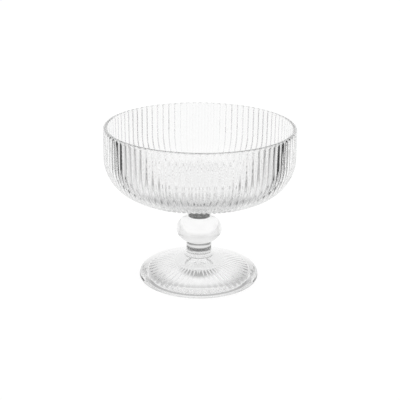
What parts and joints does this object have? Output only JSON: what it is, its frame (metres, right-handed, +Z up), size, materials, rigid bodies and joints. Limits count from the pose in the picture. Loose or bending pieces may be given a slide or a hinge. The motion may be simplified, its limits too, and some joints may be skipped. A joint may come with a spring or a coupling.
{
  "type": "ice cream cup",
  "caption": "Footed ice cream cup in clear pressed glass: ribbed round bowl with a smooth lip, on a flattened ball stem and a low sloping foot that is ribbed underneath.",
  "frame": {"origin": "middle of the foot, on the surface that the cup stands on", "axes": "+Z up along the axis of the cup; the cup is round, so +X and +Y are free"},
  "size_m": [0.12, 0.12, 0.1],
  "materials": {
    "bowl_glass": "clear, fire polished, ribbed outside",
    "stem_glass": "clear, fire polished, smooth",
    "foot_glass": "clear, smooth on top, ribbed underneath"
  },
  "bodies": {
    "root": {"bowl": "bowl_glass", "upper_neck": "stem_glass", "ball": "stem_glass", "lower_neck": "stem_glass", "step_ring": "stem_glass", "foot": "foot_glass"}
  },
  "joints": []
}
